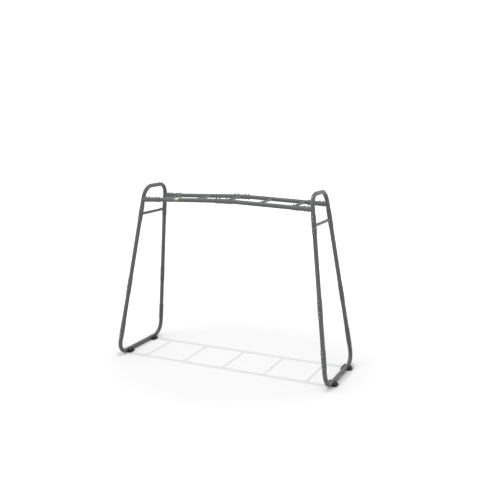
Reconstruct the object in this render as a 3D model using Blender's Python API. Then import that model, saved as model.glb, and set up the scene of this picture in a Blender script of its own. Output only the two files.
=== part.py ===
"""Monkey bars: two leaning end frames of bent steel tube and a five-rung ladder between them.

Metres, +Z up.  X runs along the ladder, -Y is the front, and the origin is on the ground
in the middle of the four feet.
"""

import math

import bmesh
import bpy
from mathutils import Matrix, Vector

# Tubes and the sleeves that join them
TUBE_DIAMETER = 0.057
TUBE_WALL = 0.002
SLEEVE_WALL = 0.0032
FIT_GAP = 0.0003
SLEEVE_LENGTH = 0.235
BEND_RADIUS = 0.170

# End frames, measured on the centre lines
BAR_RISE = 2.380
BASE_SPREAD = 3.108
TOP_SPREAD = 2.440
BASE_WIDTH = 1.121
TOP_WIDTH = 0.525

# Joints along a leg, from the corner where the leg's line meets the top or the bottom bar
RAIL_DROP = 0.180
SHOULDER_DROP = 0.368
MIDDLE_RISE = 1.006
LOWER_RISE = 0.365

# Crossbar of an end frame
CROSSBAR_DIAMETER = 0.040
CROSSBAR_WALL = 0.002
CROSSBAR_BELOW_JOINT = 0.017

# Ladder
LADDER_CROWN = 0.038
RAIL_BEND_PAST_SPLICE = 0.0425
RAIL_BEND_RADIUS = 2.0
SOCKET_SEAM = 0.160
SOCKET_START = 0.004
STUB_START = 0.0095
RUNG_COUNT = 5
RUNG_DIAMETER = 0.032
RUNG_WALL = 0.002
RUNG_CLEARANCE = 0.0135

# Through bolts of a sleeve, and what stands out of the sleeve
INNER_BOLT = 0.051
OUTER_BOLT_TO_END = 0.0175
BOLT_HEAD_DIAMETER = 0.014
BOLT_HEAD_HEIGHT = 0.0065
NUT_DIAMETER = 0.013
NUT_HEIGHT = 0.013
BOLT_SIDES = 6

# Feet
FOOT_SOLE = 0.006
FOOT_LENGTH = 0.103
FOOT_TO_BEND = 0.0015
FOOT_BASE_WIDTH = 0.150
FOOT_TOP_WIDTH = 0.083
FOOT_TOP_ABOVE_BAR = 0.017
FOOT_EDGE_HEIGHT = 0.009

# Label on the front rail
LABEL_FROM_LEG = 0.503
LABEL_LENGTH = 0.075
LABEL_THICKNESS = 0.0006
LABEL_FIRST_FACET = -2
LABEL_FACETS = 6

# Mesh fineness
SIDES = 16
BEND_STEPS = 7
RAIL_BEND_STEPS = 2

# Derived sizes
TUBE_RADIUS = TUBE_DIAMETER / 2
SLEEVE_BORE = TUBE_RADIUS + FIT_GAP
SLEEVE_RADIUS = SLEEVE_BORE + SLEEVE_WALL
BAR_HEIGHT = FOOT_SOLE + TUBE_RADIUS
HALF_SEAM = FIT_GAP / 2
HALF_SLEEVE = SLEEVE_LENGTH / 2
OUTER_BOLT = HALF_SLEEVE - OUTER_BOLT_TO_END
RAIL_BEND_PLACE = HALF_SLEEVE + RAIL_BEND_PAST_SPLICE

SIDE_NAMES = {-1: "left", 1: "right"}
DEPTH_NAMES = {-1: "front", 1: "back"}

# Colour, roughness and metallic value of each kind of piece
STEEL_FINISH = ((0.115, 0.128, 0.122, 1.0), 0.42, 0.0)
FOOT_FINISH = ((0.022, 0.023, 0.023, 1.0), 0.60, 0.0)
LABEL_FINISH = ((0.46, 0.55, 0.06, 1.0), 0.45, 0.0)


def clear_scene():
    """Remove everything that the file starts with."""
    for obj in list(bpy.data.objects):
        bpy.data.objects.remove(obj, do_unlink=True)


def make_finish(name, finish):
    """A plain Principled material with the piece's colour, roughness and metallic value."""
    colour, roughness, metallic = finish
    material = bpy.data.materials.new(name)
    material.use_nodes = True
    shader = material.node_tree.nodes["Principled BSDF"]
    shader.inputs["Base Color"].default_value = colour
    shader.inputs["Roughness"].default_value = roughness
    shader.inputs["Metallic"].default_value = metallic
    return material


def add_object(name, shape, origin, parent=None, finish=STEEL_FINISH):
    """Turn a bmesh in world coordinates into an object with its own origin and material."""
    bmesh.ops.recalc_face_normals(shape, faces=shape.faces)
    bmesh.ops.transform(shape, matrix=Matrix.Translation(-origin), verts=shape.verts)
    mesh = bpy.data.meshes.new(name)
    shape.to_mesh(mesh)
    shape.free()
    mesh.shade_smooth()
    mesh.set_sharp_from_angle(angle=math.radians(35))
    obj = bpy.data.objects.new(name, mesh)
    obj.location = origin
    obj.parent = parent
    bpy.context.scene.collection.objects.link(obj)
    if finish is not None:
        mesh.materials.append(make_finish(name + "_finish", finish))
    return obj


def add_empty(name):
    """An empty that holds one assembly together."""
    empty = bpy.data.objects.new(name, None)
    bpy.context.scene.collection.objects.link(empty)
    return empty


def add_boolean(target, operand, operation):
    """Cut or join with a helper object, which isn't a piece itself."""
    modifier = target.modifiers.new(operation.lower(), "BOOLEAN")
    modifier.operation = operation
    modifier.solver = "EXACT"
    modifier.object = operand
    operand.hide_render = True
    operand.display_type = "WIRE"


def bent_line(corners, radius, steps, side_axis):
    """Stations along a line through the corners, with an arc of one radius at each inner corner.

    A station is its centre, its tangent and the axis across the tube that lies in the bend's plane.
    """
    stations = []

    def add_station(centre, tangent):
        stations.append((centre, tangent, tangent.cross(side_axis).normalized()))

    first_leg = (corners[1] - corners[0]).normalized()
    add_station(corners[0], first_leg)
    for before, corner, after in zip(corners, corners[1:], corners[2:]):
        arriving = (corner - before).normalized()
        leaving = (after - corner).normalized()
        turn = arriving.angle(leaving)
        reach = radius * math.tan(turn / 2)
        inward = (leaving - arriving).normalized()
        centre = corner + inward * (radius / math.cos(turn / 2))
        axis = arriving.cross(leaving).normalized()
        start = corner - arriving * reach
        for step in range(steps + 1):
            spin = Matrix.Rotation(turn * step / steps, 3, axis)
            add_station(centre + spin @ (start - centre), spin @ arriving)
    last_leg = (corners[-1] - corners[-2]).normalized()
    add_station(corners[-1], last_leg)
    return stations


def add_ring(shape, station, radius, sides=SIDES):
    """A ring of points whose flats lie at the radius."""
    centre, tangent, across = station
    other = tangent.cross(across)
    corner_radius = radius / math.cos(math.pi / sides)
    ring = []
    for index in range(sides):
        angle = 2 * math.pi * (index + 0.5) / sides
        offset = across * math.cos(angle) + other * math.sin(angle)
        ring.append(shape.verts.new(centre + offset * corner_radius))
    return ring


def bridge(shape, ring_a, ring_b):
    """Faces between two rings."""
    count = len(ring_a)
    for index in range(count):
        following = (index + 1) % count
        shape.faces.new((ring_a[index], ring_a[following], ring_b[following], ring_b[index]))


def skin_along(shape, stations, radius, sides=SIDES):
    """An open skin along the stations; its first and last rings come back."""
    rings = [add_ring(shape, station, radius, sides) for station in stations]
    for ring_a, ring_b in zip(rings, rings[1:]):
        bridge(shape, ring_a, ring_b)
    return rings[0], rings[-1]


def tube_shape(stations, outer_radius, inner_radius):
    """A tube that is open at both ends."""
    shape = bmesh.new()
    outer_first, outer_last = skin_along(shape, stations, outer_radius)
    inner_first, inner_last = skin_along(shape, stations, inner_radius)
    bridge(shape, outer_first, inner_first)
    bridge(shape, outer_last, inner_last)
    return shape


def rod_shape(stations, radius, sides=SIDES, shape=None):
    """A solid rod, added to a shape that exists if one is given."""
    shape = shape or bmesh.new()
    first, last = skin_along(shape, stations, radius, sides)
    shape.faces.new(first)
    shape.faces.new(last)
    return shape


def straight(start, end, across):
    """The two stations of a straight tube."""
    tangent = (end - start).normalized()
    return [(start, tangent, across), (end, tangent, across)]


def bolts_shape(seam, tangent, head_side):
    """The heads and nuts of a sleeve's through bolts, which start inside the sleeve's wall."""
    shape = bmesh.new()
    wall_middle = SLEEVE_RADIUS - SLEEVE_WALL / 2
    for place in (-OUTER_BOLT, -INNER_BOLT, INNER_BOLT, OUTER_BOLT):
        centre = seam + tangent * place
        head_end = centre + head_side * (SLEEVE_RADIUS + BOLT_HEAD_HEIGHT)
        nut_end = centre - head_side * (SLEEVE_RADIUS + NUT_HEIGHT)
        head = straight(centre + head_side * wall_middle, head_end, tangent)
        nut = straight(centre - head_side * wall_middle, nut_end, tangent)
        rod_shape(head, BOLT_HEAD_DIAMETER / 2, BOLT_SIDES, shape)
        rod_shape(nut, NUT_DIAMETER / 2, BOLT_SIDES, shape)
    return shape


def add_sleeve(name, seam, tangent, across, head_side, parent, before=HALF_SLEEVE):
    """A sleeve over a seam, with its bolt heads and nuts."""
    ends = straight(seam - tangent * before, seam + tangent * HALF_SLEEVE, across)
    sleeve = add_object(name, tube_shape(ends, SLEEVE_RADIUS, SLEEVE_BORE), seam, parent)
    bolts = bolts_shape(seam, tangent, head_side)
    helper = add_object(name + "_bolts", bolts, seam, parent, finish=None)
    add_boolean(sleeve, helper, "UNION")
    return sleeve


class EndFrame:
    """Places and directions of one leaning end frame."""

    def __init__(self, side):
        self.name = SIDE_NAMES[side]
        self.base_x = side * BASE_SPREAD / 2
        self.top_x = side * TOP_SPREAD / 2
        self.top_z = BAR_HEIGHT + BAR_RISE
        self.normal = Vector((0, 1, 0)).cross(self.corner(1, True) - self.corner(1, False))
        self.normal.normalize()

    def corner(self, depth, top):
        """Where a leg's line meets the line of the top or the bottom bar."""
        if top:
            return Vector((self.top_x, depth * TOP_WIDTH / 2, self.top_z))
        return Vector((self.base_x, depth * BASE_WIDTH / 2, BAR_HEIGHT))

    def slant_length(self):
        """Length of the frame's middle line, up its leaning plane."""
        return math.hypot(BAR_RISE, (BASE_SPREAD - TOP_SPREAD) / 2)

    def leg_down(self, depth):
        """Unit direction down a leg."""
        return (self.corner(depth, False) - self.corner(depth, True)).normalized()

    def below_top(self, depth, distance):
        """The point on a leg's line at a distance below its top corner."""
        return self.corner(depth, True) + self.leg_down(depth) * distance

    def above_base(self, depth, distance):
        """The point on a leg's line at a distance above its bottom corner."""
        return self.corner(depth, False) - self.leg_down(depth) * distance

    def outward(self, depth):
        """Unit direction across a leg, in the frame's plane, away from the frame's middle."""
        across = self.leg_down(depth).cross(self.normal).normalized()
        return across if across.y * depth > 0 else -across

    def bow_line(self, top, reach):
        """The centre line of the top or the bottom bow, with legs that end at a distance."""
        point = self.below_top if top else self.above_base
        corners = [point(-1, reach), self.corner(-1, top), self.corner(1, top), point(1, reach)]
        return bent_line(corners, BEND_RADIUS, BEND_STEPS, self.normal)


def build_foot(frame, depth, parent):
    """A saddle block hollowed to fit the bottom bar; its top leans inwards with the frame."""
    corner_angle = math.atan2(frame.slant_length(), (BASE_WIDTH - TOP_WIDTH) / 2)
    straight_half = BASE_WIDTH / 2 - BEND_RADIUS / math.tan(corner_angle / 2)
    near_y = depth * (straight_half - FOOT_TO_BEND - FOOT_LENGTH)
    top = BAR_HEIGHT + FOOT_TOP_ABOVE_BAR
    base_half = FOOT_BASE_WIDTH / 2
    top_half = FOOT_TOP_WIDTH / 2
    lean = (frame.top_x - frame.base_x) / BAR_RISE * top
    outline = [(-base_half, 0), (base_half, 0), (base_half, FOOT_EDGE_HEIGHT), (lean + top_half, top)]
    outline += [(lean - top_half, top), (-base_half, FOOT_EDGE_HEIGHT)]
    shape = bmesh.new()
    face = shape.faces.new([shape.verts.new((frame.base_x + x, near_y, z)) for x, z in outline])
    extruded = bmesh.ops.extrude_face_region(shape, geom=[face])
    moved = [item for item in extruded["geom"] if isinstance(item, bmesh.types.BMVert)]
    bmesh.ops.translate(shape, verts=moved, vec=Vector((0, depth * FOOT_LENGTH, 0)))
    origin = Vector((frame.base_x, near_y + depth * FOOT_LENGTH / 2, 0))
    name = frame.name + "_" + DEPTH_NAMES[depth] + "_foot"
    foot = add_object(name, shape, origin, parent, FOOT_FINISH)
    bar = rod_shape(frame.bow_line(False, LOWER_RISE), TUBE_RADIUS + FIT_GAP)
    cutter = add_object(name + "_cutter", bar, origin, parent, finish=None)
    add_boolean(foot, cutter, "DIFFERENCE")


def build_leg(frame, depth, parent):
    """The two straight tubes of a leg, its three sleeves and its foot."""
    name = frame.name + "_" + DEPTH_NAMES[depth]
    down = frame.leg_down(depth)
    outward = frame.outward(depth)
    shoulder = frame.below_top(depth, SHOULDER_DROP)
    middle = frame.above_base(depth, MIDDLE_RISE)
    lower = frame.above_base(depth, LOWER_RISE)
    inner_radius = TUBE_RADIUS - TUBE_WALL
    for piece, start, end in (("upper_leg", shoulder, middle), ("lower_leg", middle, lower)):
        ends = straight(start + down * HALF_SEAM, end - down * HALF_SEAM, outward)
        add_object(name + "_" + piece, tube_shape(ends, TUBE_RADIUS, inner_radius), start, parent)
    for piece, seam in (("shoulder", shoulder), ("middle", middle), ("lower", lower)):
        add_sleeve(name + "_" + piece + "_sleeve", seam, down, outward, outward, parent)
    build_foot(frame, depth, parent)


def build_end_frame(side):
    """One end frame: two bows, two legs with their sleeves and feet, and a crossbar."""
    frame = EndFrame(side)
    parent = add_empty(frame.name + "_end_frame")
    inner_radius = TUBE_RADIUS - TUBE_WALL
    for piece, top, joint in (("top_bow", True, SHOULDER_DROP), ("bottom_bow", False, LOWER_RISE)):
        line = frame.bow_line(top, joint - HALF_SEAM)
        origin = (frame.corner(1, top) + frame.corner(-1, top)) / 2
        shape = tube_shape(line, TUBE_RADIUS, inner_radius)
        add_object(frame.name + "_" + piece, shape, origin, parent)
    for depth in (-1, 1):
        build_leg(frame, depth, parent)
    build_crossbar(frame, parent)
    return frame


def build_crossbar(frame, parent):
    """The level bar between the two shoulder sleeves, shaped to them at its ends."""
    drop = SHOULDER_DROP + CROSSBAR_BELOW_JOINT
    ends = [frame.below_top(depth, drop) for depth in (-1, 1)]
    radius = CROSSBAR_DIAMETER / 2
    shape = tube_shape(straight(*ends, frame.normal), radius, radius - CROSSBAR_WALL)
    crossbar = add_object(frame.name + "_crossbar", shape, (ends[0] + ends[1]) / 2, parent)
    cutter_shape = bmesh.new()
    for depth in (-1, 1):
        seam = frame.below_top(depth, SHOULDER_DROP)
        reach = frame.leg_down(depth) * HALF_SLEEVE
        line = straight(seam - reach, seam + reach, frame.outward(depth))
        rod_shape(line, SLEEVE_RADIUS + FIT_GAP, shape=cutter_shape)
    cutter = add_object(frame.name + "_crossbar_cutter", cutter_shape, ends[0], parent, finish=None)
    add_boolean(crossbar, cutter, "DIFFERENCE")


class Rail:
    """The centre line of one rail of the ladder."""

    def __init__(self, frames, depth):
        self.depth = depth
        self.name = DEPTH_NAMES[depth]
        self.ends = {side: frames[side].below_top(depth, RAIL_DROP) for side in (-1, 1)}
        self.y = self.ends[1].y
        self.crown_z = self.ends[1].z + LADDER_CROWN

    def bend(self, side):
        """The corner near the middle where a rail half turns level."""
        return Vector((side * RAIL_BEND_PLACE, self.y, self.crown_z))

    def inward(self, side):
        """Unit direction from a leg towards the ladder's middle."""
        return (self.bend(side) - self.ends[side]).normalized()

    def point(self, side, distance):
        """The point on the sloping part at a distance from the leg's line."""
        return self.ends[side] + self.inward(side) * distance

    def height_at(self, x):
        """Height of the centre line at a place along the ladder."""
        if abs(x) <= RAIL_BEND_PLACE:
            return self.crown_z
        end = self.ends[1]
        share = (end.x - abs(x)) / (end.x - RAIL_BEND_PLACE)
        return end.z + LADDER_CROWN * share

    def line(self, side, start, middle_gap):
        """Stations from a distance off the leg's line to the ladder's middle."""
        middle = Vector((side * middle_gap, self.y, self.crown_z))
        corners = [self.point(side, start), self.bend(side), middle]
        return bent_line(corners, RAIL_BEND_RADIUS, RAIL_BEND_STEPS, Vector((0, 1, 0)))

    def cutter_line(self):
        """Stations along the whole rail, from leg to leg."""
        left = self.line(-1, 0, 0)[:-1]
        right = self.line(1, 0, 0)[:-1]
        turned = [(centre, -tangent, -across) for centre, tangent, across in reversed(right)]
        return left + turned


def build_rail(rail, frames, parent):
    """The rail halves, the splice over their seam, and the stubs and sockets on the legs."""
    side_axis = Vector((0, 1, 0))
    inner_radius = TUBE_RADIUS - TUBE_WALL
    up = Vector((0, 0, 1))
    for side in (-1, 1):
        name = SIDE_NAMES[side] + "_" + rail.name
        inward = rail.inward(side)
        across = inward.cross(side_axis).normalized()
        line = rail.line(side, SOCKET_SEAM + HALF_SEAM, HALF_SEAM)
        shape = tube_shape(line, TUBE_RADIUS, inner_radius)
        add_object(name + "_rail", shape, rail.point(side, SOCKET_SEAM), parent)

        stub_end = rail.point(side, SOCKET_SEAM - HALF_SEAM)
        stub_line = straight(rail.point(side, STUB_START), stub_end, across)
        stub_shape = tube_shape(stub_line, TUBE_RADIUS, inner_radius)
        stub = add_object(name + "_rail_stub", stub_shape, rail.ends[side], parent)
        seam = rail.point(side, SOCKET_SEAM)
        head_side = across if across.dot(up) < 0 else -across
        socket = add_sleeve(name + "_rail_socket", seam, inward, across, head_side, parent,
                            before=SOCKET_SEAM - SOCKET_START)
        bow = rod_shape(frames[side].bow_line(True, SHOULDER_DROP), TUBE_RADIUS + FIT_GAP)
        cutter = add_object(name + "_bow_cutter", bow, rail.ends[side], parent, finish=None)
        add_boolean(stub, cutter, "DIFFERENCE")
        add_boolean(socket, cutter, "DIFFERENCE")

    crown = Vector((0, rail.y, rail.crown_z))
    add_sleeve(rail.name + "_centre_splice", crown, Vector((1, 0, 0)), up, -up, parent)


def rail_cutter(rails, radius, name, parent):
    """A helper in the shape of both rails at one radius."""
    shape = bmesh.new()
    for rail in rails:
        rod_shape(rail.cutter_line(), radius, shape=shape)
    return add_object(name, shape, Vector((0, 0, rails[0].crown_z)), parent, finish=None)


def build_rungs(rails, parent):
    """Level rungs between the rails, evenly spaced between the sockets."""
    rail_side = rail_cutter(rails, TUBE_RADIUS + FIT_GAP, "rung_rail_cutter", parent)
    splice_side = rail_cutter(rails, SLEEVE_RADIUS + FIT_GAP, "rung_splice_cutter", parent)
    radius = RUNG_DIAMETER / 2
    socket_end = rails[0].point(1, SOCKET_SEAM + HALF_SLEEVE).x
    outermost = socket_end - RUNG_CLEARANCE - radius
    for index in range(RUNG_COUNT):
        x = outermost * (2 * index / (RUNG_COUNT - 1) - 1)
        ends = [Vector((x, rail.y, rail.height_at(x))) for rail in rails]
        shape = tube_shape(straight(*ends, Vector((1, 0, 0))), radius, radius - RUNG_WALL)
        middle = (ends[0] + ends[1]) / 2
        rung = add_object("rung_" + str(index + 1), shape, middle, parent)
        meets_splice = abs(x) < HALF_SLEEVE + radius
        add_boolean(rung, splice_side if meets_splice else rail_side, "DIFFERENCE")


def build_label(rail, parent):
    """A thin plate that follows some facets of the rail's top."""
    shape = bmesh.new()
    inward = rail.inward(-1)
    across = inward.cross(Vector((0, 1, 0))).normalized()
    start = rail.point(-1, LABEL_FROM_LEG)
    stations = straight(start, start + inward * LABEL_LENGTH, across)
    picked = [(LABEL_FIRST_FACET + index) % SIDES for index in range(LABEL_FACETS + 1)]
    radii = (TUBE_RADIUS + FIT_GAP, TUBE_RADIUS + FIT_GAP + LABEL_THICKNESS)
    loops = []
    for station in stations:
        inner = add_ring(shape, station, radii[0])
        outer = add_ring(shape, station, radii[1])
        loop = [inner[index] for index in picked] + [outer[index] for index in reversed(picked)]
        loops.append(loop)
    used = set(loops[0] + loops[1])
    bmesh.ops.delete(shape, geom=[vert for vert in shape.verts if vert not in used], context="VERTS")
    bridge(shape, loops[0], loops[1])
    for loop in loops:
        for index in range(LABEL_FACETS):
            last = len(loop) - 1
            shape.faces.new((loop[index], loop[index + 1], loop[last - index - 1], loop[last - index]))
    add_object("rail_label", shape, start, parent, LABEL_FINISH)


def build():
    """The whole object."""
    clear_scene()
    frames = {side: build_end_frame(side) for side in (-1, 1)}
    ladder = add_empty("ladder")
    rails = [Rail(frames, depth) for depth in (-1, 1)]
    for rail in rails:
        build_rail(rail, frames, ladder)
    build_rungs(rails, ladder)
    build_label(rails[0], ladder)


build()
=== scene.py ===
"""Looks of the monkey bars: fine tubes, sleeves, welds, bolts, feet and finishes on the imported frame."""

import math

import bmesh
import bpy
import numpy as np
from mathutils import Matrix, Vector


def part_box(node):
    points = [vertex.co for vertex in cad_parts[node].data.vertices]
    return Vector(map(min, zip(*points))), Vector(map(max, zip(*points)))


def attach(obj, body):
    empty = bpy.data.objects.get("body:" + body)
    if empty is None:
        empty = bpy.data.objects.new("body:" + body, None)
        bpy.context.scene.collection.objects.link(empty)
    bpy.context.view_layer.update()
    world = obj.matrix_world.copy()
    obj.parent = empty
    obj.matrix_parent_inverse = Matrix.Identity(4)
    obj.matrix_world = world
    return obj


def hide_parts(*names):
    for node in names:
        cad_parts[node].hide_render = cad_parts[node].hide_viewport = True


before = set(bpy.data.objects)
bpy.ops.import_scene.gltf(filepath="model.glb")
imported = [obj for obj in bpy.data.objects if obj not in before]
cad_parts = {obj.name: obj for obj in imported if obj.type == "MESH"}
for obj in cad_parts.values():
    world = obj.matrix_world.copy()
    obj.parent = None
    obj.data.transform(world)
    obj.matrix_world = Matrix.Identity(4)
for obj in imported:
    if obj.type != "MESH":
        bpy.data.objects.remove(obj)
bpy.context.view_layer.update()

# Tubes and sleeves, in metres
TUBE_RADIUS = 0.0285
SLEEVE_RADIUS = 0.032
SLEEVE_BORE = 0.0288
SLEEVE_HALF = 0.1175
RUNG_RADIUS = 0.016
CROSSBAR_RADIUS = 0.020
WALL = 0.002
RIM_ROUND = 0.0012
SOCKET_START = 0.004

# Welds
WELD_RADIUS = 0.0026
SOCKET_WELD_RADIUS = 0.0032
RIPPLE_PITCH = 0.0033
RIPPLE_POINTS = 5
RIPPLE_DEPTH = 0.16
WELD_SIDES = 10
SADDLE_STRETCH = 1.1
SOCKET_WELD_INSET = 0.001
COPE_BITE = 0.0004

# Through bolts: places along a sleeve, radii, and heights measured from the sleeve's axis
BOLT_PLACES = (-0.100, -0.051, 0.051, 0.100)
HEAD_RADIUS = 0.0064
HEAD_FLAT = 0.0036
HEAD_TOP = 0.0384
HEAD_EDGE = 0.0352
HEAD_UNDERSIDE = 0.0340
HEAD_STEPS = 6
HEX_RECESS = 0.0024
RECESS_TAPER = 0.97
RECESS_EASE = 0.0002
RECESS_FLOOR = 0.0362
SHANK_RADIUS = 0.0039
SHANK_END = 0.0448
SHANK_END_ROUND = 0.0004
SHANK_TIP_RADII = (0.0032, 0.0027)
THREAD_START = 0.0415
THREAD_PITCH = 0.00125
THREAD_DEPTH = 0.0006
THREAD_RINGS = 6
BOLT_SIDES = 24
SPIN_STEP = math.radians(137.5)

# Black covers of the bolts: a seat under the head, and a flanged nut on the other side
COVER_FOOT = 0.0300
COVER_FIT = 0.0001
SEAT_RADIUS = 0.0086
SEAT_FLOOR = 0.0338
SEAT_SHOULDER = 0.0344
SEAT_TOP = 0.0347
SEAT_EASE = 0.0003
SEAT_BEVEL = 0.0010
FLANGE_EDGE = 0.0331
FLANGE_TOP = 0.0336
FLANGE_BEVEL = 0.0006
NUT_HALF_WIDTH = 0.0065
NUT_FOOT = 0.0337
NUT_SHOULDER = 0.0396
NUT_TOP = 0.0402
NUT_CORNER_EASE = 1.06
COLLAR_FOOT = 0.0404
COLLAR_SHOULDER = 0.0428
COLLAR_TOP = 0.0434
COLLAR_INSETS = (0.0007, 0.0010, 0.0016)

# Mesh fineness
TUBE_SIDES = 48
ARC_STEP = math.radians(4)
ROUND_STEPS = 4
SMOOTH_ANGLE = math.radians(32)

# How far apart a CAD mesh's points may be and still belong to one end, or to one ring
NEAR_END = 0.004
SAME_RING = 0.001

# Feet
FOOT_TOP_HALF = 0.0415
FOOT_EDGE_HEIGHT = 0.009
FOOT_ROUND = 0.003
FOOT_END_ROUND = 0.0021
FOOT_CORNERS = 8
CORNER_STEPS = 4
LIP_WIDTH = 0.0012
LIP_EASE = Vector((0.0003, -0.0004))
NOTCH_RADIUS = 0.0288
NOTCH_EASE = 0.06
NOTCH_STEPS = 28

# Label
LABEL_GAP = 0.0001
LABEL_FILM = 0.0003
LABEL_CORNER = 0.009
LABEL_COLUMNS = 40
LABEL_ROWS = 24

# Colours, as linear red, green and blue
COAT_DARK = (0.0640, 0.0690, 0.0672)
COAT_LIGHT = (0.0730, 0.0785, 0.0765)
COAT_FLECK = (0.085, 0.092, 0.090)
ZINC_DARK = (0.40, 0.41, 0.42)
ZINC_LIGHT = (0.55, 0.555, 0.555)
PLASTIC_DARK = (0.0085, 0.0088, 0.0090)
PLASTIC_LIGHT = (0.0120, 0.0124, 0.0126)
FILM_OLIVE = (0.105, 0.135, 0.030)
# Pale yellow of the painted highlight on the label's upper part
FILM_HIGHLIGHT_YELLOW = (0.66, 0.70, 0.20)
FILM_SPECKLE = (0.9, 0.9, 0.8)
BLACK = (0, 0, 0)
WHITE = (1, 1, 1)

# The label's painted highlight, a pale yellow patch on its upper part: where it fades in and out, as
# shares of the label's box
HIGHLIGHT_HEIGHTS = (0.50, 0.60, 0.86, 0.92)
HIGHLIGHT_LENGTHS = (0.28, 0.36, 0.84, 0.92)

# Camera and light
CAMERA_PLACE = Vector((4.163, -8.430, 3.4055))
CAMERA_PITCH = math.radians(90 - 11.024)
CAMERA_TURN = math.radians(24.876)
CAMERA_LENS = 50.46
LAMP_HEIGHT = 9.7
LAMP_SIZE = 0.04
LAMP_POWER = 240
SKY_HORIZON = 1.02
SKY_RISE = 0.15
SKY_GLOW = 2.3
SKY_GLOW_FROM = Vector((-0.43, -0.54, 0.72))
SKY_GLOW_POWER = 11.0
FLOOR_RADIUS = 70
# Floor colour darker near the object and lighter far off: painted shade round the object, and painted
# light that makes up for the lamp's falloff
FLOOR_NEAR = 0.605
FLOOR_FAR = 0.92
FLOOR_BLEND = (1.4, 6.0)

UP = Vector((0, 0, 1))
ALONG_LADDER = Vector((1, 0, 0))
ACROSS_LADDER = Vector((0, 1, 0))
SIDES = {"left": -1, "right": 1}
DEPTHS = {"front": -1, "back": 1}


# ---------------------------------------------------------------- reading the frame

def node_points(node):
    """The different corner points of a CAD node."""
    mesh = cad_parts[node].data
    points = np.empty(len(mesh.vertices) * 3, np.float32)
    mesh.vertices.foreach_get("co", points)
    return np.unique(np.round(points.reshape(-1, 3).astype(float), 6), axis=0)


def tube_ends(node):
    """Centres of the two ends of a straight CAD tube, the upper one first."""
    points = node_points(node)
    middle = points.mean(0)
    axis = np.linalg.svd(points - middle, full_matrices=False)[2][0]
    along = (points - middle) @ axis
    ends = [points[along > along.max() - NEAR_END].mean(0),
            points[along < along.min() + NEAR_END].mean(0)]
    ends.sort(key=lambda end: -end[2])
    return Vector(ends[0]), Vector(ends[1])


def bar_end(node):
    """Where the straight bar of a bow stops, on its +Y side: the ring nearest the middle."""
    points = node_points(node)
    points = points[points[:, 1] > 0]
    ring = points[points[:, 1] < points[:, 1].min() + SAME_RING]
    return Vector(ring.mean(0))


class EndFrame:
    """The lines of one end frame, read from its CAD nodes."""

    def __init__(self, side):
        self.seams = {}
        for depth in DEPTHS:
            shoulder, middle = tube_ends(f"{side}_{depth}_upper_leg")
            lower = tube_ends(f"{side}_{depth}_lower_leg")[1]
            self.seams[depth] = {"shoulder": shoulder, "middle": middle, "lower": lower}
        self.bars = {piece: bar_end(f"{side}_{piece}_bow") for piece in ("top", "bottom")}
        self.normal = ACROSS_LADDER.cross(self.bars["top"] - self.bars["bottom"]).normalized()

    def down(self, depth):
        """Unit direction down a leg."""
        seams = self.seams[depth]
        return (seams["lower"] - seams["shoulder"]).normalized()

    def corner(self, depth, piece):
        """Where a leg's line meets the line of the top or the bottom bar."""
        start = self.seams[depth]["shoulder"]
        down = self.down(depth)
        return start + down * ((self.bars[piece].z - start.z) / down.z)

    def outward(self, depth):
        """Unit direction across a leg, in the frame's plane, away from its middle."""
        across = self.down(depth).cross(self.normal).normalized()
        return across if across.y * DEPTHS[depth] > 0 else -across

    def bow_stations(self, piece):
        """Stations along the top or the bottom bow, with bends that start where its bar stops."""
        joint, sign = ("shoulder", -1) if piece == "top" else ("lower", 1)
        turn = (self.down("back") * sign).angle(-ACROSS_LADDER)
        reach = self.corner("back", piece).y - self.bars[piece].y
        radius = reach / math.tan(turn / 2)
        line = [self.seams["front"][joint], self.corner("front", piece),
                self.corner("back", piece), self.seams["back"][joint]]
        return bent_line(line, radius, self.normal)


class Rail:
    """The centre line of one rail, read from its CAD nodes."""

    def __init__(self, depth, frames):
        self.seams, self.directions, self.bends, self.legs = {}, {}, {}, {}
        for side, sign in SIDES.items():
            points = node_points(f"{side}_{depth}_rail")
            far = points[:, 0] * sign
            outer = Vector(points[far > far.max() - NEAR_END].mean(0))
            inner = points[far < far.min() + SAME_RING].mean(0)
            self.crown = Vector((0, inner[1], inner[2]))
            arc = points[(far < far.max() / 2) & (far > far.min() + NEAR_END)]
            arc_far = arc[:, 0] * sign
            arc_start = Vector(arc[arc_far > arc_far.max() - NEAR_END].mean(0))
            direction = (arc_start - outer).normalized()
            self.seams[side] = outer
            self.directions[side] = direction
            self.bends[side] = outer + direction * ((self.crown.z - outer.z) / direction.z)
            self.arc_reach = (arc_start - self.bends[side]).length
        for side, end_frame in frames.items():
            start, down = end_frame.seams[depth]["shoulder"], end_frame.down(depth)
            self.legs[side] = (start + down * ((self.crown.y - start.y) / down.y), down)

    def direction_at(self, x):
        """Unit direction of the centre line at a place along the ladder."""
        side = "left" if x < 0 else "right"
        if abs(x) < abs(self.bends[side].x):
            return ALONG_LADDER
        return self.directions[side]

    def point_at(self, x):
        """The point of the centre line at a place along the ladder."""
        side = "left" if x < 0 else "right"
        bend, direction = self.bends[side], self.direction_at(x)
        return bend + direction * ((x - bend.x) / direction.x)

    def stations(self, side):
        """Stations along one half of the rail, from its socket's seam to the middle."""
        turn = self.directions[side].angle(ALONG_LADDER * -SIDES[side])
        radius = self.arc_reach / math.tan(turn / 2)
        line = [self.seams[side], self.bends[side], self.crown]
        return bent_line(line, radius, ACROSS_LADDER)


# ---------------------------------------------------------------- meshes

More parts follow.
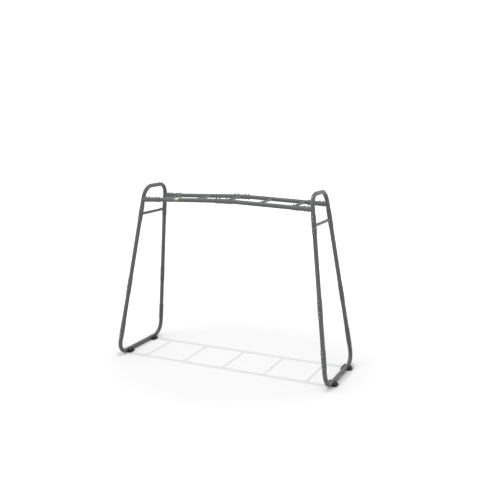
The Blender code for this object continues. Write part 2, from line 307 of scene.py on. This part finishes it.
def bent_line(corners, radius, side_axis):
    """Stations (centre, tangent, across) along a line with an arc at each inner corner."""
    stations = []

    def add(centre, tangent):
        stations.append((centre, tangent, tangent.cross(side_axis).normalized()))

    add(corners[0], (corners[1] - corners[0]).normalized())
    for before, corner, after in zip(corners, corners[1:], corners[2:]):
        arriving = (corner - before).normalized()
        leaving = (after - corner).normalized()
        turn = arriving.angle(leaving)
        start = corner - arriving * radius * math.tan(turn / 2)
        centre = corner + (leaving - arriving).normalized() * radius / math.cos(turn / 2)
        axis = arriving.cross(leaving).normalized()
        steps = max(2, math.ceil(turn / ARC_STEP))
        for step in range(steps + 1):
            spin = Matrix.Rotation(turn * step / steps, 3, axis)
            add(centre + spin @ (start - centre), spin @ arriving)
    add(corners[-1], (corners[-1] - corners[-2]).normalized())
    return stations


def ring_points(station, radius, sides=TUBE_SIDES):
    """Points of a circle round a station."""
    centre, tangent, across = station
    other = tangent.cross(across)
    angles = [2 * math.pi * index / sides for index in range(sides)]
    return [centre + (across * math.cos(a) + other * math.sin(a)) * radius for a in angles]


def closed_skin(rings, shape=None):
    """Rings of points joined in a loop: each ring to the next, and the last to the first."""
    shape = shape or bmesh.new()
    loops = [[shape.verts.new(point) for point in ring] for ring in rings]
    for ring_a, ring_b in zip(loops, loops[1:] + loops[:1]):
        bridge(shape, ring_a, ring_b)
    return shape


def capped_skin(rings):
    """Rings of points joined one to the next, with a face over the first and the last."""
    shape = bmesh.new()
    loops = [[shape.verts.new(point) for point in ring] for ring in rings]
    for ring_a, ring_b in zip(loops, loops[1:]):
        bridge(shape, ring_a, ring_b)
    shape.faces.new(loops[0])
    shape.faces.new(loops[-1])
    return shape


def bridge(shape, ring_a, ring_b):
    """Faces between two rings of vertices."""
    count = len(ring_a)
    for index in range(count):
        following = (index + 1) % count
        shape.faces.new((ring_a[index], ring_a[following], ring_b[following], ring_b[index]))


def finish_mesh(name, shape, material):
    """Turn a bmesh into a mesh with smooth shading between its sharp edges."""
    bmesh.ops.recalc_face_normals(shape, faces=shape.faces)
    mesh = bpy.data.meshes.new(name)
    shape.to_mesh(mesh)
    shape.free()
    mesh.shade_smooth()
    mesh.set_sharp_from_angle(angle=SMOOTH_ANGLE)
    mesh.materials.append(material)
    return mesh


def add_piece(name, mesh, node=None, matrix=None):
    """A piece that rides on the frame, and perhaps stands for a CAD node."""
    piece = bpy.data.objects.new(name, mesh)
    bpy.context.scene.collection.objects.link(piece)
    if matrix is not None:
        piece.matrix_world = matrix
    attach(piece, "root")
    if node is not None:
        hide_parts(node)


def add_tube(node, stations):
    """A bent or straight tube in the place of its CAD node."""
    outside = [ring_points(station, TUBE_RADIUS) for station in stations]
    inside = [ring_points(station, TUBE_RADIUS - WALL) for station in reversed(stations)]
    mesh = finish_mesh(node + "_tube", closed_skin(outside + inside), COAT)
    add_piece(node + "_tube", mesh, node)


def rounded_end(end, outer, bore, direction):
    """Profile (distance, radius) of a tube's end with rounded edges, from its outside to its bore."""
    profile = []
    for step in range(ROUND_STEPS + 1):
        angle = math.pi / 2 * step / ROUND_STEPS
        inset = RIM_ROUND * (1 - math.sin(angle))
        profile.append((end - direction * inset, outer - RIM_ROUND * (1 - math.cos(angle))))
    chamfer = RIM_ROUND / 3
    profile.append((end, bore + chamfer))
    profile.append((end - direction * chamfer, bore))
    return profile


def shifted(station, distance):
    """The station moved along its tangent."""
    centre, tangent, across = station
    return centre + tangent * distance, tangent, across


def add_sleeve(node, seam, tangent, across):
    """A sleeve with rounded rims over a seam."""
    station = (seam, tangent, across)
    start = rounded_end(-SLEEVE_HALF, SLEEVE_RADIUS, SLEEVE_BORE, -1)
    end = rounded_end(SLEEVE_HALF, SLEEVE_RADIUS, SLEEVE_BORE, 1)
    profile = list(reversed(start)) + end
    rings = [ring_points(shifted(station, place), radius) for place, radius in profile]
    mesh = finish_mesh(node + "_shell", closed_skin(rings), COAT)
    add_piece(node + "_shell", mesh, node)


def rejected(vector, axis):
    """The part of a vector that lies across an axis."""
    return vector - axis * vector.dot(axis)


def hit(point, direction, cylinder, stop_before=0.0):
    """Distance from a point to a cylinder, or to just before its nearest approach."""
    axis_point, axis, radius = cylinder
    start = rejected(point - axis_point, axis)
    way = rejected(direction, axis)
    square, half = way.length_squared, start.dot(way)
    nearest = -half / square
    inside = half * half - square * (start.length_squared - radius * radius)
    reach = nearest - math.sqrt(max(inside, 0.0)) / square
    return min(reach, nearest - stop_before / math.sqrt(square))


def coped_ring(station, radius, cylinder, sides=TUBE_SIDES, stop_before=0.0):
    """A ring of points pushed along the tangent until they meet a cylinder."""
    tangent = station[1]
    points = ring_points(station, radius, sides)
    return [point + tangent * hit(point, tangent, cylinder, stop_before) for point in points]


def weld_mesh(name, station, radius, cylinder, bead, stop_before=0.0):
    """A rippled bead along the line where a tube meets a cylinder."""
    ripples = round(2 * math.pi * radius * SADDLE_STRETCH / RIPPLE_PITCH)
    count = ripples * RIPPLE_POINTS
    loop = coped_ring(station, radius, cylinder, count, stop_before)
    centre, axis = station[0], station[1]
    rings = []
    for index, point in enumerate(loop):
        tangent = (loop[(index + 1) % count] - loop[index - 1]).normalized()
        outward = rejected(rejected(point - centre, axis), tangent).normalized()
        phase = (index % RIPPLE_POINTS) / RIPPLE_POINTS
        size = bead * (1 - RIPPLE_DEPTH * phase * phase)
        rings.append(ring_points((point, tangent, outward), size, WELD_SIDES))
    return finish_mesh(name, closed_skin(rings), COAT)


def add_coped_tube(node, middle, across, ends, radius, weld_names):
    """A tube that runs from a middle point to a cylinder at each end, with a weld at each."""
    outside, inside = [], []
    for (direction, cylinder), weld_name in zip(ends, weld_names):
        station = (middle, direction, across)
        bitten = (cylinder[0], cylinder[1], cylinder[2] - COPE_BITE)
        outside.append(coped_ring(station, radius, bitten))
        inside.append(coped_ring(station, radius - WALL, bitten))
        weld = weld_mesh(weld_name, station, radius, cylinder, WELD_RADIUS)
        add_piece(weld_name, weld)
    outside[1] = turned(outside[1])
    inside[1] = turned(inside[1])
    mesh = finish_mesh(node + "_tube", closed_skin(outside + inside[::-1]), COAT)
    add_piece(node + "_tube", mesh, node)


def turned(ring):
    """A ring in the opposite order, which starts at the same point."""
    return [ring[0]] + ring[:0:-1]


def hexagon(half_width):
    """Radii of a hexagon at the angles of a bolt's ring."""
    radii = []
    for index in range(BOLT_SIDES):
        angle = (2 * math.pi * index / BOLT_SIDES) % (math.pi / 3) - math.pi / 6
        radii.append(half_width / math.cos(angle))
    return radii


def bolt_ring(height, radii):
    """A ring round the Z axis with one radius or a list of radii."""
    if not isinstance(radii, list):
        radii = [radii] * BOLT_SIDES
    ring = []
    for index, radius in enumerate(radii):
        angle = 2 * math.pi * index / BOLT_SIDES
        ring.append(Vector((radius * math.cos(angle), radius * math.sin(angle), height)))
    return ring


def bolt_mesh():
    """A button-head bolt along Z: recessed head at the top, threaded end at the bottom."""
    rings = [bolt_ring(RECESS_FLOOR, hexagon(HEX_RECESS * RECESS_TAPER)),
             bolt_ring(HEAD_TOP - RECESS_EASE, hexagon(HEX_RECESS)),
             bolt_ring(HEAD_TOP, hexagon(HEX_RECESS + RECESS_EASE))]
    for step in range(HEAD_STEPS + 1):
        angle = math.pi / 2 * step / HEAD_STEPS
        radius = HEAD_FLAT + (HEAD_RADIUS - HEAD_FLAT) * math.sin(angle)
        rings.append(bolt_ring(HEAD_EDGE + (HEAD_TOP - HEAD_EDGE) * math.cos(angle), radius))
    rings.append(bolt_ring(HEAD_UNDERSIDE, HEAD_RADIUS))
    rings.append(bolt_ring(HEAD_UNDERSIDE, SHANK_RADIUS))
    rings.append(bolt_ring(-THREAD_START + THREAD_PITCH, SHANK_RADIUS))
    turns = (SHANK_END - THREAD_START) / THREAD_PITCH
    for step in range(int(turns * THREAD_RINGS)):
        height = THREAD_START + step * THREAD_PITCH / THREAD_RINGS
        radii = []
        for index in range(BOLT_SIDES):
            phase = (step / THREAD_RINGS + index / BOLT_SIDES) % 1
            radii.append(SHANK_RADIUS - THREAD_DEPTH * abs(2 * phase - 1))
        rings.append(bolt_ring(-height, radii))
    rings.append(bolt_ring(-SHANK_END + SHANK_END_ROUND, SHANK_TIP_RADII[0]))
    rings.append(bolt_ring(-SHANK_END, SHANK_TIP_RADII[1]))
    return finish_mesh("through_bolt", capped_skin(rings), ZINC)


def cover_mesh():
    """The black parts of a through bolt: a seat ring under its head, and its nut on a flange."""
    bore = SHANK_RADIUS + COVER_FIT
    seat = [(COVER_FOOT, SEAT_RADIUS), (SEAT_FLOOR, SEAT_RADIUS),
            (SEAT_SHOULDER, SEAT_RADIUS - SEAT_EASE), (SEAT_TOP, SEAT_RADIUS - SEAT_BEVEL),
            (SEAT_TOP, HEAD_RADIUS + SEAT_EASE), (SEAT_FLOOR, HEAD_RADIUS + COVER_FIT),
            (SEAT_FLOOR, bore), (COVER_FOOT, bore)]
    shape = closed_skin([bolt_ring(height, radius) for height, radius in seat])

    hex_radii = hexagon(NUT_HALF_WIDTH)
    eased = [min(radius, NUT_HALF_WIDTH * NUT_CORNER_EASE) for radius in hex_radii]
    collar_foot, collar_shoulder, collar_top = (NUT_HALF_WIDTH - inset for inset in COLLAR_INSETS)
    nut = [(COVER_FOOT, SEAT_RADIUS), (FLANGE_EDGE, SEAT_RADIUS),
           (FLANGE_TOP, SEAT_RADIUS - FLANGE_BEVEL), (NUT_FOOT, hex_radii),
           (NUT_SHOULDER, hex_radii), (NUT_TOP, eased), (COLLAR_FOOT, collar_foot),
           (COLLAR_SHOULDER, collar_shoulder), (COLLAR_TOP, collar_top),
           (COLLAR_TOP, bore), (COVER_FOOT, bore)]
    closed_skin([bolt_ring(-height, radii) for height, radii in nut], shape)
    return finish_mesh("bolt_covers", shape, PLASTIC)


def add_bolts(node, seam, tangent, head_side):
    """The four through bolts of a sleeve, each with its covers."""
    across = head_side.cross(tangent).normalized()
    basis = Matrix((tangent, across, head_side)).transposed().to_4x4()
    for number, place in enumerate(BOLT_PLACES, 1):
        spin = Matrix.Rotation(SPIN_STEP * (number + len(node)), 4, "Z")
        matrix = Matrix.Translation(seam + tangent * place) @ basis @ spin
        add_piece(f"{node}_bolt_{number}", BOLT, matrix=matrix)
        add_piece(f"{node}_bolt_covers_{number}", COVERS, matrix=matrix)


# ---------------------------------------------------------------- feet and label

def rounded_outline(points, radius):
    """A closed outline in a plane with every corner turned into an arc."""
    outline = []
    count = len(points)
    for index, point in enumerate(points):
        corner = Vector(point)
        arriving = (corner - Vector(points[index - 1])).normalized()
        leaving = (Vector(points[(index + 1) % count]) - corner).normalized()
        turn = arriving.angle(leaving)
        reach = radius * math.tan(turn / 2)
        inward = (leaving - arriving).normalized()
        centre = corner + inward * radius / math.cos(turn / 2)
        side = 1 if arriving.cross(leaving) > 0 else -1
        start = corner - arriving * reach - centre
        for step in range(CORNER_STEPS + 1):
            angle = side * turn * step / CORNER_STEPS
            spin = Matrix.Rotation(angle, 2)
            outline.append(centre + spin @ start)
    return outline


def inset_outline(outline, distance):
    """An outline moved inwards by a distance."""
    moved = []
    count = len(outline)
    for index, point in enumerate(outline):
        before = (point - outline[index - 1]).normalized()
        after = (outline[(index + 1) % count] - point).normalized()
        normals = [Vector((-way.y, way.x)) for way in (before, after)]
        middle = (normals[0] + normals[1]).normalized()
        moved.append(point + middle * distance / max(0.5, middle.dot(normals[0])))
    return moved


def foot_outline(half_width, top, bar_height, lean):
    """The end view of a foot, anticlockwise from its sole, with a round notch for the bar.

    The block's top is moved sideways by lean; the notch stays in the middle.
    """
    opening = math.asin((top - bar_height) / NOTCH_RADIUS)
    lip = Vector((NOTCH_RADIUS * math.cos(opening), top))
    block = [(-half_width, 0), (half_width, 0), (half_width, FOOT_EDGE_HEIGHT),
             (lean + FOOT_TOP_HALF, top), lip, (-lip.x, top),
             (lean - FOOT_TOP_HALF, top), (-half_width, FOOT_EDGE_HEIGHT)]
    rounded = rounded_outline(block, FOOT_ROUND)
    per_corner = len(rounded) // FOOT_CORNERS
    before_lips, after_lips = rounded[:4 * per_corner], rounded[6 * per_corner:]

    first = opening - NOTCH_EASE
    sweep = math.pi + 2 * first
    notch = []
    for step in range(NOTCH_STEPS + 1):
        angle = first - sweep * step / NOTCH_STEPS
        notch.append(Vector((math.cos(angle), math.sin(angle))) * NOTCH_RADIUS + Vector((0, bar_height)))
    lip_in = [lip + Vector((LIP_WIDTH, 0)), lip + LIP_EASE]
    lip_out = [Vector((-point.x, point.y)) for point in reversed(lip_in)]
    return before_lips + lip_in + notch + lip_out + after_lips


def add_foot(node, lines):
    """A moulded foot with rounded edges in the box of its CAD node, leaning like the end frame."""
    low, high = (Vector(corner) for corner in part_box(node))
    centre_x = (low.x + high.x) / 2
    foot_bar, top_bar = lines.bars["bottom"], lines.bars["top"]
    lean = (top_bar.x - foot_bar.x) / (top_bar.z - foot_bar.z) * high.z
    outline = foot_outline((high.x - low.x) / 2, high.z, foot_bar.z, lean)
    rings = []
    for end, direction in ((low.y, 1), (high.y, -1)):
        layers = []
        for step in range(ROUND_STEPS + 1):
            angle = math.pi / 2 * step / ROUND_STEPS
            ring = inset_outline(outline, FOOT_END_ROUND * (1 - math.sin(angle)))
            y = end + direction * FOOT_END_ROUND * (1 - math.cos(angle))
            layers.append([Vector((centre_x + point.x, y, point.y)) for point in ring])
        rings += layers if direction > 0 else layers[::-1]
    mesh = finish_mesh(node + "_moulding", capped_skin(rings), PLASTIC)
    add_piece(node + "_moulding", mesh, node)


def add_label(rail):
    """A curved film with rounded corners over the top and the front of the rail."""
    node = "rail_label"
    points = node_points(node)
    direction = rail.directions["left"]
    start = rail.seams["left"]
    across = rejected(UP, direction).normalized()
    front = -ACROSS_LADDER
    offsets = [Vector(point) - start for point in points]
    along = [offset.dot(direction) for offset in offsets]
    around = [math.atan2(offset.dot(front), offset.dot(across)) for offset in offsets]
    low, high = min(along), max(along)
    first, last = min(around), max(around)
    inner = TUBE_RADIUS + LABEL_GAP
    half_round = (last - first) / 2 * inner
    half_long = (high - low) / 2
    shape = bmesh.new()
    layers = []
    for radius in (inner, inner + LABEL_FILM):
        grid = []
        for row in range(LABEL_ROWS + 1):
            v = 2 * row / LABEL_ROWS - 1
            grid.append([])
            for column in range(LABEL_COLUMNS + 1):
                u = 2 * column / LABEL_COLUMNS - 1
                x, y = rounded_square(u, v, half_long, half_round, LABEL_CORNER)
                angle = (first + last) / 2 + y / inner
                place = start + direction * ((low + high) / 2 + x)
                offset = across * math.cos(angle) + front * math.sin(angle)
                grid[-1].append(shape.verts.new(place + offset * radius))
        layers.append(grid)
    for grid in layers:
        for row_a, row_b in zip(grid, grid[1:]):
            for column in range(LABEL_COLUMNS):
                shape.faces.new((row_a[column], row_a[column + 1], row_b[column + 1], row_b[column]))
    rims = [grid[0] + [row[-1] for row in grid[1:]] + grid[-1][-2::-1] + [row[0] for row in grid[-2:0:-1]]
            for grid in layers]
    bridge(shape, rims[0], rims[1])
    add_piece(node + "_film", finish_mesh(node + "_film", shape, FILM), node)


def rounded_square(u, v, half_u, half_v, corner):
    """Map a square's point to a rectangle whose corners are rounded."""
    x, y = u * half_u, v * half_v
    over_v = abs(y) - (half_v - corner)
    if over_v > 0:
        x *= 1 - (corner - math.sqrt(max(corner * corner - over_v * over_v, 0))) / half_u
    return x, y


# ---------------------------------------------------------------- materials

def new_material(name, roughness, metallic=0.0):
    """A Principled material, its node tree and its shader."""
    material = bpy.data.materials.new(name)
    material.use_nodes = True
    tree = material.node_tree
    shader = tree.nodes["Principled BSDF"]
    shader.inputs["Roughness"].default_value = roughness
    shader.inputs["Metallic"].default_value = metallic
    return material, tree, shader


def add_noise(tree, scale, detail, roughness):
    """A noise texture in the object's own metres."""
    coordinates = tree.nodes.new("ShaderNodeTexCoord")
    noise = tree.nodes.new("ShaderNodeTexNoise")
    noise.inputs["Scale"].default_value = scale
    noise.inputs["Detail"].default_value = detail
    noise.inputs["Roughness"].default_value = roughness
    tree.links.new(coordinates.outputs["Object"], noise.inputs["Vector"])
    return noise.outputs["Fac"]


def add_ramp(tree, value, stops):
    """A colour ramp with stops of (place, colour)."""
    ramp = tree.nodes.new("ShaderNodeValToRGB")
    elements = ramp.color_ramp.elements
    for element, (place, colour) in zip(elements, (stops[0], stops[-1])):
        element.position = place
        element.color = (*colour, 1)
    for place, colour in stops[1:-1]:
        elements.new(place).color = (*colour, 1)
    tree.links.new(value, ramp.inputs["Fac"])
    return ramp.outputs["Color"]


def add_stripe(tree, value, places):
    """A ramp that fades from black to white and back to black at four places."""
    return add_ramp(tree, value, list(zip(places, (BLACK, WHITE, WHITE, BLACK))))


def add_range(tree, value, low, high, from_low=0.3, from_high=0.7):
    """A value in one range, by default a noise's usual one, spread over the range low to high."""
    spread = tree.nodes.new("ShaderNodeMapRange")
    spread.inputs["From Min"].default_value = from_low
    spread.inputs["From Max"].default_value = from_high
    spread.inputs["To Min"].default_value = low
    spread.inputs["To Max"].default_value = high
    tree.links.new(value, spread.inputs["Value"])
    return spread.outputs["Result"]


def add_bump(tree, shader, value, strength, distance):
    """A bump on the shader's normal, over any bump that is already there."""
    bump = tree.nodes.new("ShaderNodeBump")
    bump.inputs["Strength"].default_value = strength
    bump.inputs["Distance"].default_value = distance
    tree.links.new(value, bump.inputs["Height"])
    normal = shader.inputs["Normal"]
    if normal.links:
        tree.links.new(normal.links[0].from_socket, bump.inputs["Normal"])
    tree.links.new(bump.outputs["Normal"], normal)


def mixed(tree, factor, colour_a, colour_b):
    """A mix of two colours, either of which may be a socket."""
    mix = tree.nodes.new("ShaderNodeMix")
    mix.data_type = "RGBA"
    tree.links.new(factor, mix.inputs[0])
    for socket, colour in ((mix.inputs[6], colour_a), (mix.inputs[7], colour_b)):
        if isinstance(colour, bpy.types.NodeSocket):
            tree.links.new(colour, socket)
        else:
            socket.default_value = (*colour, 1)
    return mix.outputs[2]


def calculated(tree, operation, value, operand):
    """The result of a sum on a value and a number or another value."""
    node = tree.nodes.new("ShaderNodeMath")
    node.operation = operation
    tree.links.new(value, node.inputs[0])
    if isinstance(operand, bpy.types.NodeSocket):
        tree.links.new(operand, node.inputs[1])
    else:
        node.inputs[1].default_value = operand
    return node.outputs["Value"]


def coat_material():
    """Satin grey powder coat: fine orange peel, soft clouds of tone and a few small flecks."""
    material, tree, shader = new_material("powder_coat", 0.5)
    shader.inputs["Specular IOR Level"].default_value = 0.35
    clouds = add_noise(tree, 5.0, 4.0, 0.6)
    grain = add_noise(tree, 420.0, 2.0, 0.5)
    flecks = add_noise(tree, 1500.0, 1.0, 0.4)
    base = add_ramp(tree, clouds, [(0.3, COAT_DARK), (0.7, COAT_LIGHT)])
    fleck_mask = add_range(tree, flecks, 0.0, 0.35, 0.66, 0.78)
    colour = mixed(tree, fleck_mask, base, COAT_FLECK)
    tree.links.new(colour, shader.inputs["Base Color"])
    tree.links.new(add_range(tree, clouds, 0.30, 0.37), shader.inputs["Roughness"])
    add_bump(tree, shader, grain, 0.22, 0.0006)
    add_bump(tree, shader, flecks, 0.10, 0.0002)
    return material


def zinc_material():
    """Dull zinc plate with fine mottling."""
    material, tree, shader = new_material("zinc_plate", 0.34, 1.0)
    mottle = add_noise(tree, 900.0, 3.0, 0.6)
    colour = add_ramp(tree, mottle, [(0.3, ZINC_DARK), (0.7, ZINC_LIGHT)])
    tree.links.new(colour, shader.inputs["Base Color"])
    tree.links.new(add_range(tree, mottle, 0.28, 0.44), shader.inputs["Roughness"])
    add_bump(tree, shader, mottle, 0.10, 0.0001)
    return material


def plastic_material():
    """Black moulded plastic with a spark-eroded texture."""
    material, tree, shader = new_material("black_plastic", 0.6)
    shader.inputs["Specular IOR Level"].default_value = 0.25
    clouds = add_noise(tree, 30.0, 3.0, 0.6)
    grain = add_noise(tree, 1400.0, 2.0, 0.5)
    colour = add_ramp(tree, clouds, [(0.3, PLASTIC_DARK), (0.7, PLASTIC_LIGHT)])
    tree.links.new(colour, shader.inputs["Base Color"])
    tree.links.new(add_range(tree, clouds, 0.50, 0.64), shader.inputs["Roughness"])
    add_bump(tree, shader, grain, 0.35, 0.0003)
    return material


def film_material(low, high):
    """Satin film: an olive printed field with a painted highlight, a pale yellow patch on its upper part,
    placed in the label's box.
    """
    material, tree, shader = new_material("label_film", 0.38)
    coordinates = tree.nodes.new("ShaderNodeTexCoord")
    split = tree.nodes.new("ShaderNodeSeparateXYZ")
    tree.links.new(coordinates.outputs["Object"], split.inputs["Vector"])
    height = add_range(tree, split.outputs["Z"], 0.0, 1.0, low.z, high.z)
    along = add_range(tree, split.outputs["X"], 0.0, 1.0, low.x, high.x)
    # The pale yellow patch is a painted highlight, faded in across the label's upper band
    painted_highlight = calculated(tree, "MULTIPLY", add_stripe(tree, height, HIGHLIGHT_HEIGHTS),
                       add_stripe(tree, along, HIGHLIGHT_LENGTHS))
    colour = mixed(tree, painted_highlight, FILM_OLIVE, FILM_HIGHLIGHT_YELLOW)
    speckle = add_noise(tree, 700.0, 2.0, 0.5)
    tinted = mixed(tree, add_range(tree, speckle, 0.0, 0.12), colour, FILM_SPECKLE)
    tree.links.new(tinted, shader.inputs["Base Color"])
    tree.links.new(add_range(tree, speckle, 0.32, 0.42), shader.inputs["Roughness"])
    add_bump(tree, shader, speckle, 0.06, 0.0002)
    return material


def floor_material():
    """A pale floor whose colour grows lighter away from the object: painted shade near the object and
    painted light far off, which makes up for the lamp's falloff.
    """
    material, tree, shader = new_material("studio_floor", 1.0)
    shader.inputs["Specular IOR Level"].default_value = 0.0
    coordinates = tree.nodes.new("ShaderNodeTexCoord")
    length = tree.nodes.new("ShaderNodeVectorMath")
    length.operation = "LENGTH"
    tree.links.new(coordinates.outputs["Object"], length.inputs[0])
    near, far = FLOOR_BLEND
    factor = add_range(tree, length.outputs["Value"], 0.0, 1.0, near, far)
    # Painted shade near the object, painted light far off
    colour = mixed(tree, factor, (FLOOR_NEAR,) * 3, (FLOOR_FAR,) * 3)
    tree.links.new(colour, shader.inputs["Base Color"])
    return material


# ---------------------------------------------------------------- studio

def build_studio():
    """The floor, a soft sky with a glow high up in front, an overhead lamp and the camera."""
    scene = bpy.context.scene
    scene.view_settings.view_transform = "Standard"

    shape = bmesh.new()
    bmesh.ops.create_circle(shape, cap_ends=True, segments=64, radius=FLOOR_RADIUS)
    floor = bpy.data.objects.new("studio_floor", finish_mesh("studio_floor", shape, floor_material()))
    scene.collection.objects.link(floor)

    world = bpy.data.worlds.new("studio_sky")
    scene.world = world
    world.use_nodes = True
    tree = world.node_tree
    background = tree.nodes["Background"]
    background.inputs["Color"].default_value = (*WHITE, 1)
    coordinates = tree.nodes.new("ShaderNodeTexCoord")
    split = tree.nodes.new("ShaderNodeSeparateXYZ")
    tree.links.new(coordinates.outputs["Generated"], split.inputs["Vector"])
    rise = add_range(tree, split.outputs["Z"], SKY_HORIZON, SKY_HORIZON + SKY_RISE, 0.0, 1.0)
    towards = tree.nodes.new("ShaderNodeVectorMath")
    towards.operation = "DOT_PRODUCT"
    towards.inputs[1].default_value = SKY_GLOW_FROM.normalized()
    tree.links.new(coordinates.outputs["Generated"], towards.inputs[0])
    facing = add_range(tree, towards.outputs["Value"], 0.0, 1.0, 0.0, 1.0)
    glow = calculated(tree, "POWER", facing, SKY_GLOW_POWER)
    glow = calculated(tree, "MULTIPLY", glow, SKY_GLOW)
    tree.links.new(calculated(tree, "ADD", rise, glow), background.inputs["Strength"])

    lamp_data = bpy.data.lights.new("overhead_lamp", "AREA")
    lamp_data.shape = "DISK"
    lamp_data.size = LAMP_SIZE
    lamp_data.energy = LAMP_POWER
    lamp = bpy.data.objects.new("overhead_lamp", lamp_data)
    lamp.location = (0, 0, LAMP_HEIGHT)
    scene.collection.objects.link(lamp)

    camera_data = bpy.data.cameras.new("camera")
    camera_data.lens = CAMERA_LENS
    camera = bpy.data.objects.new("camera", camera_data)
    camera.location = CAMERA_PLACE
    camera.rotation_euler = (CAMERA_PITCH, 0, CAMERA_TURN)
    scene.collection.objects.link(camera)
    scene.camera = camera


# ---------------------------------------------------------------- building

def build_end_frame(side, lines):
    """The bows, legs, sleeves, feet and crossbar of one end frame."""
    for piece in ("top", "bottom"):
        add_tube(f"{side}_{piece}_bow", lines.bow_stations(piece))
    for depth in DEPTHS:
        seams, down, outward = lines.seams[depth], lines.down(depth), lines.outward(depth)
        name = f"{side}_{depth}"
        for piece, start, end in (("upper", "shoulder", "middle"), ("lower", "middle", "lower")):
            stations = [(seams[start], down, outward), (seams[end], down, outward)]
            add_tube(f"{name}_{piece}_leg", stations)
        for joint, seam in seams.items():
            add_sleeve(f"{name}_{joint}_sleeve", seam, down, outward)
            add_bolts(f"{name}_{joint}_sleeve", seam, down, outward)
        add_foot(f"{name}_foot", lines)

    low, high = (Vector(corner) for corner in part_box(f"{side}_crossbar"))
    middle = (low + high) / 2
    ends = []
    for depth in DEPTHS:
        cylinder = (lines.seams[depth]["shoulder"], lines.down(depth), SLEEVE_RADIUS)
        ends.append((ACROSS_LADDER * DEPTHS[depth], cylinder))
    welds = [f"{side}_{depth}_crossbar_weld" for depth in DEPTHS]
    add_coped_tube(f"{side}_crossbar", middle, UP, ends, CROSSBAR_RADIUS, welds)


def build_rail(depth, rail):
    """The rail halves, sockets, stubs and centre splice of one rail."""
    for side in SIDES:
        name = f"{side}_{depth}_rail"
        add_tube(name, rail.stations(side))
        seam, inward = rail.seams[side], rail.directions[side]
        across = inward.cross(ACROSS_LADDER).normalized()
        leg_point, leg_down = rail.legs[side]
        leg = (leg_point, leg_down, TUBE_RADIUS)
        towards_leg = (seam, -inward, across)

        stub = [coped_ring(towards_leg, TUBE_RADIUS, leg), ring_points(towards_leg, TUBE_RADIUS),
                ring_points(towards_leg, TUBE_RADIUS - WALL),
                coped_ring(towards_leg, TUBE_RADIUS - WALL, leg)]
        mesh = finish_mesh(name + "_stub_tube", closed_skin(stub), COAT)
        add_piece(name + "_stub_tube", mesh, name + "_stub")

        profile = rounded_end(-SLEEVE_HALF, SLEEVE_RADIUS, SLEEVE_BORE, -1)
        socket = [coped_ring(towards_leg, SLEEVE_RADIUS, leg, stop_before=SOCKET_START)]
        socket += [ring_points(shifted(towards_leg, place), radius) for place, radius in profile]
        socket.append(coped_ring(towards_leg, SLEEVE_BORE, leg, stop_before=SOCKET_START))
        mesh = finish_mesh(name + "_socket_shell", closed_skin(socket), COAT)
        add_piece(name + "_socket_shell", mesh, name + "_socket")
        weld = weld_mesh(name + "_socket_weld", towards_leg, SLEEVE_RADIUS - SOCKET_WELD_INSET, leg,
                         SOCKET_WELD_RADIUS, SOCKET_START)
        add_piece(name + "_socket_weld", weld)
        add_bolts(name + "_socket", seam, inward, across if across.z < 0 else -across)
    add_sleeve(f"{depth}_centre_splice", rail.crown, ALONG_LADDER, UP)
    add_bolts(f"{depth}_centre_splice", rail.crown, ALONG_LADDER, -UP)


def build_rungs(rails):
    """The rungs, each shaped and welded to both rails."""
    rungs = sorted(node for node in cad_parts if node.startswith("rung_"))
    for node in rungs:
        low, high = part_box(node)
        x = (low[0] + high[0]) / 2
        radius = SLEEVE_RADIUS if abs(x) < SLEEVE_HALF else TUBE_RADIUS
        ends = []
        for depth, rail in rails.items():
            cylinder = (rail.point_at(x), rail.direction_at(x), radius)
            ends.append((ACROSS_LADDER * DEPTHS[depth], cylinder))
        middle = Vector((x, 0, rails["front"].point_at(x).z))
        add_coped_tube(node, middle, UP, ends, RUNG_RADIUS, [f"{node}_{depth}_weld" for depth in rails])


COAT = coat_material()
ZINC = zinc_material()
PLASTIC = plastic_material()
FILM = film_material(*(Vector(corner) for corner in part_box("rail_label")))
BOLT = bolt_mesh()
COVERS = cover_mesh()

build_studio()
end_frames = {side: EndFrame(side) for side in SIDES}
for side, lines in end_frames.items():
    build_end_frame(side, lines)
rails = {depth: Rail(depth, end_frames) for depth in DEPTHS}
for depth, rail in rails.items():
    build_rail(depth, rail)
build_rungs(rails)
add_label(rails["front"])
